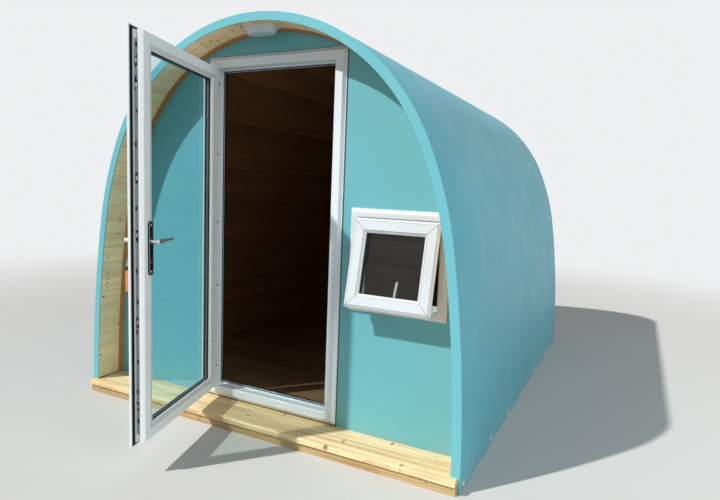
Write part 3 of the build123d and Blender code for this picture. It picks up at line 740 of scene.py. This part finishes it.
# Laminate floor
def floor_planks():
    boards = Boards(11)
    low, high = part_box("floor_laminate")
    gap, edge, narrowest, stagger = 0.0002, 0.0008, 0.01, 0.37
    for row in range(int((high.y - low.y) / PLANK_WIDTH) + 1):
        y0 = low.y + row * PLANK_WIDTH
        y1 = min(y0 + PLANK_WIDTH, high.y) - gap
        if y1 - y0 < narrowest:
            continue
        outline = board_outline(y0, y1, high.z - low.z, edge, edge)
        x = low.x - (row * stagger % 1) * PLANK_LENGTH
        while x < high.x:
            x0, x1 = max(x, low.x), min(x + PLANK_LENGTH - gap, high.x)
            x += PLANK_LENGTH
            if x1 - x0 < narrowest:
                continue
            steps = ((x0, edge), (x0 + edge, 0), (x1 - edge, 0), (x1, edge))
            boards.add([[(sx, y, high.z - max(w, sink)) for y, w in outline] for sx, sink in steps],
                       [[(sx, y - y0, w) for y, w in outline] for sx, sink in steps])
    return boards


laminate = floor_planks().make("laminate_planks", FLOOR_PLANK, "pod", "floor_laminate")
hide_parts("floor_laminate")


# Moulded shell
def shell_moulding():
    """The whole outer skin as one smooth moulding, its front and rear edges slightly rolled."""
    moulding = Parts()
    roll, thickness, bays = 0.003, 0.009, 8
    middle = SKIN_REAR - SKIN_FRONT - 2 * roll
    edge = ((0, thickness), (0, roll), (roll * 0.3, roll * 0.3), (roll, 0.0))
    rows = [(SKIN_FRONT + back, inset) for back, inset in edge]
    rows += [(SKIN_FRONT + roll + middle * i / bays, 0.0) for i in range(1, bays)]
    rows += [(SKIN_REAR - back, inset) for back, inset in reversed(edge)]
    angles, step = [0.0], 0.045
    for start, end, radius in arch_arcs(0):
        count = max(2, round((end - start) * radius / step))
        angles += [start + (end - start) * (i + 1) / count for i in range(count)]
    moulding.loft([[(p.x, y, p.y) for p in (arch_point(inset, angle) for angle in angles)]
                   for y, inset in rows], ends=0, ring=True, open_rows=True)
    piece = moulding.make("shell_moulding", [GEL_COAT], "pod", "painted_skin", smooth=True)
    piece.data.set_sharp_from_angle(angle=radians(40))
    return piece


shell = shell_moulding()
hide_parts("shell_skin_left", "shell_skin_crown", "shell_skin_right")


# Double glazing
def rectangle(turn, box, inset, y):
    """Corners of an upright rectangle, moved in by inset; box is (x0, x1, z0, z1), shut."""
    x0, x1, z0, z1 = box[0] + inset, box[1] - inset, box[2] + inset, box[3] - inset
    return [turn @ Vector((x, y, z)) for x, z in ((x0, z0), (x1, z0), (x1, z1), (x0, z1))]


def shut_box(node, turn):
    """Box of a node once it is carried back by the inverse of a turn."""
    back = turn.inverted()
    places = [back @ vertex.co for vertex in nodes[node].data.vertices]
    return [Vector(end(p[i] for p in places) for i in range(3)) for end in (min, max)]


def glazing(name, node, glass, body, turn):
    """Two panes with their arrises taken off, and the bar between them, sealed at both edges."""
    low, high = shut_box(node, turn)
    box = upright_box(low, high)
    thickness, arris, gap, edge_cover, bar_width = 0.004, 0.0006, 0.0002, 0.006, 0.014
    pair = Parts()
    for y0, y1 in ((low.y, low.y + thickness), (high.y - thickness, high.y)):
        rows = ((arris, y0), (0, y0 + arris), (0, y1 - arris), (arris, y1))
        pair.loft([rectangle(turn, box, inset, y) for inset, y in rows])
    panes = pair.make(name + "_panes", [glass], body, "clear_glass")
    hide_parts(node)
    bar = Parts()
    y0, y1 = low.y + thickness + gap, high.y - thickness - gap
    sealant, inner = (y1 - y0) * 0.3, edge_cover + bar_width
    rows = ((edge_cover, y0), (inner, y0), (inner, y0 + sealant), (inner, y1 - sealant),
            (inner, y1), (edge_cover, y1))
    bar.loft([rectangle(turn, box, inset, y) for inset, y in rows], ends=0, ring=True)
    bar.finishes = [int(row == 2) for row in range(len(rows)) for side in range(4)]
    bar.make(name + "_spacer", [SPACER_BAR, SPACER_FACE], body, "plated_steel")


glazing("door", "door_glass", DOOR_GLASS, "door", TO_OPEN)
glazing("window", "window_glass", CLEAR_GLASS, "pod", TO_TILT)


# Small hardware
def facing(place, normal):
    """A place whose local Z stands along a normal."""
    turned = Vector(normal).to_track_quat("Z", "Y").to_matrix().to_4x4()
    return Matrix.Translation(place) @ turned


def into_pod(spot, y, out):
    """A place on the lining of the arch, facing into the pod."""
    return facing((spot.x, y, spot.y), (-out.x, 0, -out.y))


class Hardware(Parts):
    """Small turned and flat parts that make one piece."""

    def turned(self, place, profile, count=14, finish=0):
        """A part turned about the local Z of a place, from (radius, height), middle first."""
        turns = [(cos(tau * i / count), sin(tau * i / count)) for i in range(count)]
        self.loft([[place @ Vector((radius * c, radius * s, height)) for c, s in turns]
                   for radius, height in profile], finish, ends=1)

    def bar(self, place, size, edge, finish=0):
        """A flat part on the local XY of a place, its upper edges bevelled."""
        half_x, half_y, height = size[0] / 2, size[1] / 2, size[2]
        corners = ((-1, -1), (1, -1), (1, 1), (-1, 1))
        self.loft([[place @ Vector((x * (half_x - inset), y * (half_y - inset), z))
                    for x, y in corners]
                   for inset, z in ((0, 0), (0, height - edge), (edge, height))], finish)

    def edge_trim(self, place, width, height, breadth, proud):
        """A rounded trim round a plate with half-round ends, about the middle of the plate."""
        radius, reach, count = width / 2, height / 2 - width / 2, 12
        outline = [(cos(start + pi * i / count), sin(start + pi * i / count), end * reach)
                   for end, start in ((1, 0.0), (-1, pi)) for i in range(count + 1)]
        section = ((0, 0), (0, proud * 0.7), (breadth * 0.4, proud), (breadth, proud * 0.8),
                   (breadth, 0))
        self.loft([[place @ Vector(((radius - inset) * c, shift + (radius - inset) * s, z))
                    for c, s, shift in outline] for inset, z in section], ends=0, ring=True)

    def frame_line(self, turn, box, inset, width, face, proud):
        """A thin rectangular ring on a face, its sides mitred; box is (x0, x1, z0, z1), shut."""
        rows = ((inset, face), (inset, face + proud), (inset + width, face + proud),
                (inset + width, face))
        self.loft([rectangle(turn, box, step, y) for step, y in rows], ends=0, ring=True)

    def weld_lines(self, turn, box, profile, width, proud):
        """The welded mitres at a frame's corners, along its outer profile of (in, y) points."""
        x0, x1, z0, z1 = box
        rise = Vector((0, proud, 0))
        for x, along_x in ((x0, 1), (x1, -1)):
            for z, along_z in ((z0, 1), (z1, -1)):
                side = Vector((along_x * width / 2, 0, -along_z * width / 2))
                spots = [Vector((x + along_x * inset, y, z + along_z * inset))
                         for inset, y in profile]
                self.loft([[turn @ (spot + shift) for shift in (-side, side, side + rise,
                                                                rise - side)] for spot in spots])

    def screw(self, place, radius, height):
        """A domed head with a round drive recess in its middle, which is painted near black as
        shade.
        """
        socket = radius * 0.4
        self.turned(place, [(socket * 0.5, height * 0.25), (socket, height * 0.3),
                            (socket, height)], finish=1)
        self.turned(place, [(socket, height), (radius * 0.75, height * 0.85),
                            (radius, height * 0.3), (radius, 0)])


def profile_lines():
    """Painted shade where bead and rail meet and at the sash's profile steps; the sash's weld
    lines.
    """
    beads = Hardware()
    rail_face, bead_lap = 0.072, 0.018
    leaf = (DOOR_LOW.x + LEAF_INSET, DOOR_HIGH.x - LEAF_INSET,
            DOOR_LOW.z + LEAF_INSET, DOOR_HIGH.z - LEAF_INSET)
    pocket = LEAF_STEP + rail_face - bead_lap
    beads.frame_line(TO_OPEN, leaf, pocket - 0.0012, 0.0024, LEAF_INNER - 0.0002, 0.0004)
    beads.frame_line(TO_OPEN, leaf, pocket + 0.0074, 0.0022, LEAF_INNER - 0.0042, 0.0004)
    beads.make("door_bead_lines", [SHADE_LINE], "door", "white_plastic")
    welds = Hardware()
    inset, proud, sunk = 0.038, 0.05, -0.0003
    sash = (WINDOW_LOW.x + inset, SASH_RIGHT, WINDOW_LOW.z + inset, WINDOW_HIGH.z - inset)
    y, top = WALL_Y - proud, sash[3]
    tilt = Matrix.Translation((0, y, top - 0.006)) @ TO_TILT @ Matrix.Translation((0, -y, -top))
    profile = [(0.0, y + 0.009), (0.014, y), (0.059, y), (0.073, y + 0.011)]
    welds.weld_lines(tilt, sash, profile, 0.0018, sunk)
    # Grey lines where the sash's slopes meet its flat: painted shade in the steps of the profile
    for edge in (0.0134, 0.0586):
        welds.frame_line(tilt, sash, edge, 0.0012, y, sunk)
    welds.make("sash_weld_and_shade_lines", [WELD_AND_SHADE_LINE], "pod", "white_plastic")


def step_screws():
    """Countersunk screws through the step's top board and its front board."""
    screws = Hardware()
    sunk = [(0.0012, -0.001), (0.003, 0.0002), (0.0044, 0.0003), (0.0046, -0.0002)]
    front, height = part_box("step_front_board")[0].y, 0.027
    for x in (-1.02, -0.34, 0.34, 1.02):
        for place in (facing((x + 0.033, -1.383, STEP_TOP), (0, 0, 1)),
                      facing((x + 0.035, -1.517, STEP_TOP), (0, 0, 1)),
                      facing((x + 0.05, front, height), (0, -1, 0))):
            screws.turned(place, sunk, count=12)
    screws.make("step_screws", [NAIL_HOLE], "pod", "pine_step")


def frame_screws():
    """Fixing screws through the rebates of both jambs, under their flat caps."""
    screws = Hardware()
    rebate = 0.062
    for height in (1.92, 1.521, 1.128, 0.755, 0.262):
        for x, side in ((DOOR_LOW.x + rebate, 1), (DOOR_HIGH.x - rebate, -1)):
            place = facing((x, WALL_Y + 0.002, height), (side, 0, 0))
            screws.turned(place, [(0.0052, 0.0006), (0.0074, 0.0008), (0.0082, 0)])
            screws.turned(place, [(0.002, 0.0007), (0.006, 0.0009), (0.0065, 0.0005)], finish=1)
    screws.make("door_frame_screws", [FRAME_PLASTIC, RECESS_SHADE_AND_BLACK], "pod", "white_plastic")


def perimeter_seal_and_shade():
    """Sealant in the angle between the door frame and the front panel, dark teal as painted shade
    there.
    """
    seal = Hardware()
    width, proud, corner = 0.006, 0.002, 0.08
    low, high = STEP_TOP, DOOR_HIGH.z
    for x in (DOOR_LOW.x - width / 2, DOOR_HIGH.x + width / 2):
        place = facing((x, WALL_Y, (low + high) / 2), (0, -1, 0))
        seal.bar(place, (width, high - low, proud), proud * 0.7)
    middle = (DOOR_LOW.x + DOOR_HIGH.x) / 2
    place = facing((middle, WALL_Y, high + width / 2 - 0.001), (0, -1, 0))
    seal.bar(place, (DOOR_HIGH.x - DOOR_LOW.x - 2 * corner, width - 0.002, proud), proud * 0.7)
    seal.make("door_perimeter_seal", [SEALANT_AND_SHADE], "pod", "black_seal")


def stop_lip_and_shade():
    """Black lip that folds round the inner edge of the door frame's stop; its black also paints the
    shade behind the gasket.
    """
    lip = Hardware()
    front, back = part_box("door_frame_gasket")[1].y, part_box("door_frame_left")[1].y
    depth, y = back - front, (back + front) / 2
    face, thickness = 0.08, 0.0008
    left, right = DOOR_LOW.x + face, DOOR_HIGH.x - face
    low, high = DOOR_LOW.z + face, DOOR_HIGH.z - face
    for x, side in ((left, 1), (right, -1)):
        place = facing((x, y, (low + high) / 2), (side, 0, 0))
        lip.bar(place, (depth, high - low, thickness), thickness / 3)
    for z, side in ((low, 1), (high, -1)):
        place = facing(((left + right) / 2, y, z), (0, 0, side))
        lip.bar(place, (right - left, depth, thickness), thickness / 3)
    lip.make("door_stop_lip", [SEAL_RUBBER], "pod", "black_seal")


def lock_furniture():
    """Screws, rollers and latch openings down the face of the lock strip, the openings painted
    shade.
    """
    parts = Hardware()
    low, high = 0.215, DOOR_HIGH.z - 0.135
    spacing, stagger = 0.046, 0.0025
    count = round((high - low) / spacing)
    for i in range(count + 1):
        y, height = STRIP_Y + (stagger if i % 2 else -stagger), low + (high - low) * i / count
        place = TO_OPEN @ facing((LEAF_EDGE, y, height), (1, 0, 0))
        if i % 3 == 1:
            parts.bar(place, (0.009, 0.02, 0.0005), 0.0002, finish=1)
        else:
            parts.screw(place, 0.0048, 0.0011)
    for height in (1.86, 1.757, 1.363, 1.114, 0.72, 0.33):
        place = TO_OPEN @ facing((LEAF_EDGE, STRIP_Y, height), (1, 0, 0))
        parts.bar(place, (0.013, 0.046, 0.0007), 0.0002, finish=1)
        parts.bar(place, (0.008, 0.02, 0.0018), 0.0006)
    parts.make("lock_strip_screws", [PLATED_STEEL, RECESS_SHADE_AND_BLACK], "door", "plated_steel")


def backplate_screws():
    """Screws, bright edge and key slot of each backplate; the slot is painted near black as shade.
    """
    screws = Hardware()
    low, high = [corner.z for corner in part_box("door_backplates")]
    width, thickness = 0.032, 0.009
    for y, side in ((LEAF_OUTER - thickness, -1), (LEAF_INNER + thickness, 1)):
        for height in (SPINDLE_Z + 0.072, SPINDLE_Z - 0.137):
            place = TO_OPEN @ facing((SPINDLE_X, y, height), (0, side, 0))
            screws.screw(place, 0.0054, 0.0018)
        upright = Matrix(((1, 0, 0), (0, 0, side), (0, 1, 0))).to_4x4()
        middle = Matrix.Translation((SPINDLE_X, y, (low + high) / 2))
        screws.edge_trim(TO_OPEN @ middle @ upright, width, high - low, 0.0022, 0.0007)
        place = TO_OPEN @ facing((SPINDLE_X, y + side * 0.003, CYLINDER_Z), (0, side, 0))
        screws.bar(place, (0.0022, 0.0085, 0.0003), 0.0001, finish=1)
    screws.make("backplate_screws", [BRIGHT_CHROME, RECESS_SHADE_AND_BLACK], "door", "plated_steel")


def key_and_fob():
    """The key in the outside of the lock, with its split ring and strap."""
    def hung(along, out, down, normal):
        return TO_OPEN @ facing((SPINDLE_X - along, face - out, CYLINDER_Z - down), normal)

    face, outwards, sideways = LEAF_OUTER - 0.0124, (0, -1, 0), (1, 0, 0)
    upright = Matrix.Rotation(pi / 2, 4, "Z")
    key = Hardware()
    key.bar(hung(0, 0, 0, outwards), (0.0022, 0.0075, 0.012), 0.0004)
    key.bar(hung(0, 0.011, 0.003, outwards), (0.0024, 0.022, 0.022), 0.004)
    key.turned(hung(0.0012, 0.03, 0.021, sideways), [
        (0.009, 0), (0.0092, 0.0018), (0.0106, 0.0024), (0.0112, 0.0012), (0.0108, 0)], count=24)
    key.make("lock_key", [PLATED_STEEL], "door", "plated_steel")
    strap = Hardware()
    strap.bar(hung(0.0016, 0.034, 0.088, sideways) @ upright, (0.112, 0.014, 0.0032), 0.0009)
    clip = hung(0.0022, 0.034, 0.038, sideways) @ upright
    strap.bar(clip, (0.018, 0.016, 0.0046), 0.0006, finish=1)
    strap.make("key_strap", [ORANGE_FOB, RECESS_SHADE_AND_BLACK], "door", "lamp_plastic")


def porch_nails():
    """Punched nails that hold each porch board at the front rib and the wall, and small knots."""
    nails = Hardware()
    punched = [(0.0008, -0.0006), (0.0018, -0.0004), (0.0026, 0.0002), (0.0029, -0.0002)]
    lowest = 0.11
    jitter = Random(21)
    for i in range(BOARD_COUNT):
        foot, out, along = lining_at(board_angle(i))
        for y in (FRONT_Y + 0.044, WALL_Y - 0.041):
            spot = foot + along * jitter.uniform(-0.022, 0.022)
            if spot.y >= lowest:
                place = into_pod(spot, y + jitter.uniform(-0.006, 0.006), out)
                nails.turned(place, punched, count=10)
    knots = [(facing((-half_width(SHELL_THICKNESS, z), y, z), (1, 0, 0)), radius)
             for y, z, radius in PORCH_KNOTS]
    for x, y, radius in CROWN_KNOTS:
        spot, out, along = lining_at(acos(x / (CROWN_RADIUS - SHELL_THICKNESS)))
        knots.append((into_pod(spot, y, out), radius))
    for place, radius in knots:
        nails.turned(place, [(radius * 0.4, 0.0003), (radius, 0.0006), (radius * 1.3, -0.0002)],
                     count=12)
    nails.make("porch_board_nails", [NAIL_HOLE], "pod", "pine_lining")


def room_nails():
    """Nails that hold each room board to the ribs, and the rear boards to their battens."""
    nails = Hardware()
    nail = [(0.0012, -0.0006), (0.0032, 0.0003), (0.0042, -0.0002)]
    jitter = Random(33)
    for i in range(BOARD_COUNT):
        for y in (-1.20, -0.72, -0.24, 0.24, 0.72, 1.20):
            for shift in (-0.024, 0.024):
                shift += jitter.uniform(-0.006, 0.006)
                spot, out, along = lining_at(board_angle(i, shift))
                if spot.y > FLOOR_Z + 0.02:
                    place = into_pod(spot, y + jitter.uniform(-0.008, 0.008), out)
                    nails.turned(place, nail, count=8)
    face = REAR_WALL_FRONT - BOARD_THICKNESS
    for x in (-0.84, -0.28, 0.28, 0.84):
        height = FLOOR_Z + 0.03
        while half_width(SHELL_THICKNESS, height) > abs(x) + 0.06:
            place = facing((x + jitter.uniform(-0.008, 0.008), face, height), (0, -1, 0))
            nails.turned(place, nail, count=8)
            height += BOARD_COVER / 2
    nails.make("room_board_nails", [NAIL_HOLE], "pod", "pine_lining")


def skin_screw_caps():
    """Domed caps over the screws that hold the foot of the skin to the base."""
    caps = Hardware()
    height, dome = 0.026, [(0.002, 0.0042), (0.006, 0.0037), (0.0096, 0.0022), (0.0115, 0)]
    for side in (1, -1):
        for y in (-1.46, -0.927, -0.503, -0.04, 0.479, 0.94, 1.39):
            x = side * (half_width(0, height) - 0.0002)
            caps.turned(facing((x, y, height), (side, 0, 0)), dome, count=20)
    caps.make("skin_screw_caps", [LAMP_PLASTIC], "pod", "white_plastic", smooth=True)


profile_lines()
step_screws()
frame_screws()
perimeter_seal_and_shade()
stop_lip_and_shade()
lock_furniture()
backplate_screws()
key_and_fob()
porch_nails()
room_nails()
skin_screw_caps()


# Floor, light and camera
def studio_ground():
    """A pale round floor that fades into the background towards its rim."""
    radius, count = 9.0, 96
    mesh = bpy.data.meshes.new("studio_ground")
    rim = [(radius * cos(tau * i / count), radius * sin(tau * i / count), 0) for i in range(count)]
    mesh.from_pydata([(0, 0, 0)] + rim, [],
                     [(0, i + 1, (i + 1) % count + 1) for i in range(count)])
    ground = stand("studio_ground", mesh)
    ground.location.z = -0.0005
    material, tree, shader = new_finish(
        "studio_floor", Roughness=0.9, Base_Color=srgb((198, 198, 196)))
    outside = fade(tree, length(tree, object_place(tree)), 3.4, radius - 0.5)
    surface_mix(tree, outside, shader, add(tree, "BsdfTransparent"))
    mesh.materials.append(material)


def studio_world():
    """Soft light from all round, and a plain pale background for what looks past the pod."""
    world = bpy.data.worlds.new("studio_world")
    world.use_nodes = True
    tree = world.node_tree
    rays = add(tree, "LightPath").outputs
    beyond = calc(tree, "MAXIMUM", rays["Is Glossy Ray"], rays["Is Transmission Ray"])
    seen = calc(tree, "MAXIMUM", rays["Is Camera Ray"], beyond)
    soft = add(tree, "Background", {"Color": srgb((238, 242, 248)), "Strength": 0.28})
    plain = add(tree, "Background", {"Color": srgb((238, 239, 240)), "Strength": 1.0})
    surface_mix(tree, seen, soft, plain, "World Output")
    bpy.context.scene.world = world


def add_lamp(name, kind, colour, toward, place=(0, 0, 0), **settings):
    lamp = tune(bpy.data.lights.new(name, kind), color=colour, **settings)
    tune(stand(name, lamp), location=place, rotation_mode="QUATERNION",
         rotation_quaternion=Vector(toward).to_track_quat("-Z", "Y"))


def camera():
    """The photograph's viewpoint, turned left of the pod's length and slightly down."""
    yaw, pitch, roll = radians(26.676), radians(6.415), radians(2.243)
    ahead = Vector((-sin(yaw) * cos(pitch), cos(yaw) * cos(pitch), -sin(pitch)))
    level = Vector((cos(yaw), sin(yaw), 0))
    upright = level.cross(ahead)
    right = level * cos(roll) + upright * sin(roll)
    up = upright * cos(roll) - level * sin(roll)
    holder = stand("camera", tune(bpy.data.cameras.new("camera"), sensor_width=36, lens=27.3825,
                                  clip_start=0.05, clip_end=200))
    turned = Matrix((right, up, -ahead)).transposed().to_4x4()
    holder.matrix_world = Matrix.Translation((1.8293, -3.8273, 1.3563)) @ turned
    bpy.context.scene.camera = holder


studio_ground()
studio_world()
# A sun from the front left, as high as the shade of the porch says, and soft light from the right
add_lamp("key", "SUN", (1.0, 0.98, 0.955), (0.84, 1.0, -1.2), energy=3.7, angle=radians(1.2))
add_lamp("side_fill", "AREA", (0.95, 0.985, 0.975), (-7.8, 3.6, -3.6), (7.8, -3.6, 4.6),
         energy=290, shape="DISK", size=6)
camera()
bpy.context.scene.view_settings.view_transform = "Standard"
